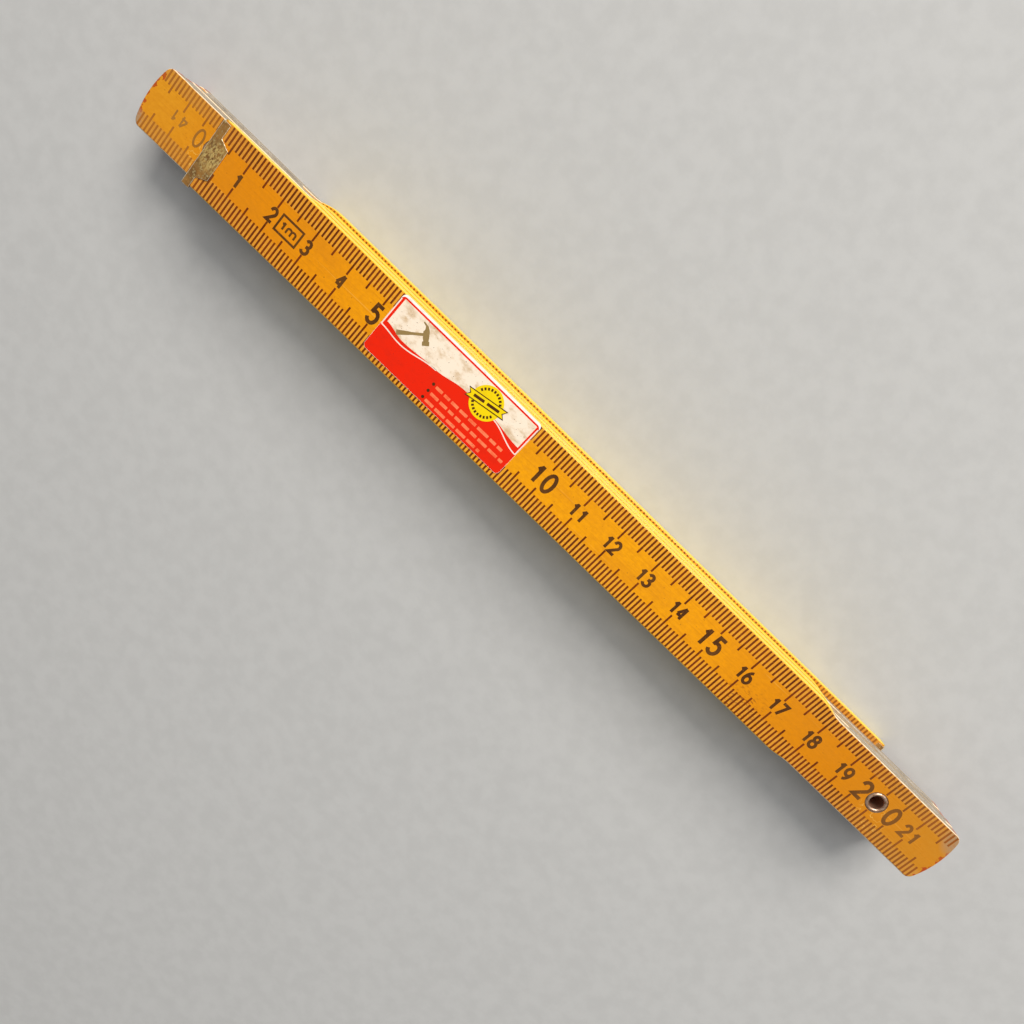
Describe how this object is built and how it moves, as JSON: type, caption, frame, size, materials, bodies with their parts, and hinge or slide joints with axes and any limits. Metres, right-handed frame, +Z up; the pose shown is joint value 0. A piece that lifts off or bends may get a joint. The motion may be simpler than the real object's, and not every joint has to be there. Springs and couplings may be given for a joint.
{
  "type": "folding rule",
  "caption": "Wooden folding rule with a printed centimetre scale, riveted flat steel joints and steel-capped ends, shown folded.",
  "frame": {"origin": "under the middle of the folded stack, on the surface it lies on", "axes": "+X along the folded rule, away from the scale's zero; +Y across it, towards the tops of the numerals; +Z up through the stack"},
  "size_m": [0.238, 0.017, 0.0165],
  "materials": {
    "lacquered_wood": "yellow clear-lacquered beech, printed brown scale, glossy, worn at the edges",
    "joint_steel": "thin spring steel, satin",
    "rivet_steel": "nickel-plated hollow rivet, bright, lightly tarnished",
    "cap_steel": "dull brown-tarnished sheet steel with worn patches",
    "label_paper": "printed and varnished paper label, red and cream, scuffed"
  },
  "bodies": {
    "blade_1": {"blade_1": "lacquered_wood", "spring_plate_1": "joint_steel", "zero_end_cap": "cap_steel", "label": "label_paper"},
    "blade_2": {"blade_2": "lacquered_wood", "spring_plate_2": "joint_steel", "detent_plate_1": "joint_steel", "hollow_rivet_1": "rivet_steel"},
    "blade_3": {"blade_3": "lacquered_wood", "spring_plate_3": "joint_steel", "detent_plate_2": "joint_steel", "hollow_rivet_2": "rivet_steel"},
    "blade_4": {"blade_4": "lacquered_wood", "spring_plate_4": "joint_steel", "detent_plate_3": "joint_steel", "hollow_rivet_3": "rivet_steel"},
    "blade_5": {"blade_5": "lacquered_wood", "detent_plate_4": "joint_steel", "hollow_rivet_4": "rivet_steel", "far_end_cap": "cap_steel"}
  },
  "joints": [
    {"name": "fold_4", "type": "hinge", "parent": "blade_5", "child": "blade_4", "pos_m": [-0.1, 0, 0.00315], "axis": [0, 0, 1], "range_deg": [-180, 180]},
    {"name": "fold_3", "type": "hinge", "parent": "blade_4", "child": "blade_3", "pos_m": [0.1, 0, 0.00645], "axis": [0, 0, 1], "range_deg": [-180, 180]},
    {"name": "fold_2", "type": "hinge", "parent": "blade_3", "child": "blade_2", "pos_m": [-0.1, 0, 0.00975], "axis": [0, 0, 1], "range_deg": [-180, 180]},
    {"name": "fold_1", "type": "hinge", "parent": "blade_2", "child": "blade_1", "pos_m": [0.1, 0, 0.01305], "axis": [0, 0, 1], "range_deg": [-180, 180]}
  ]
}
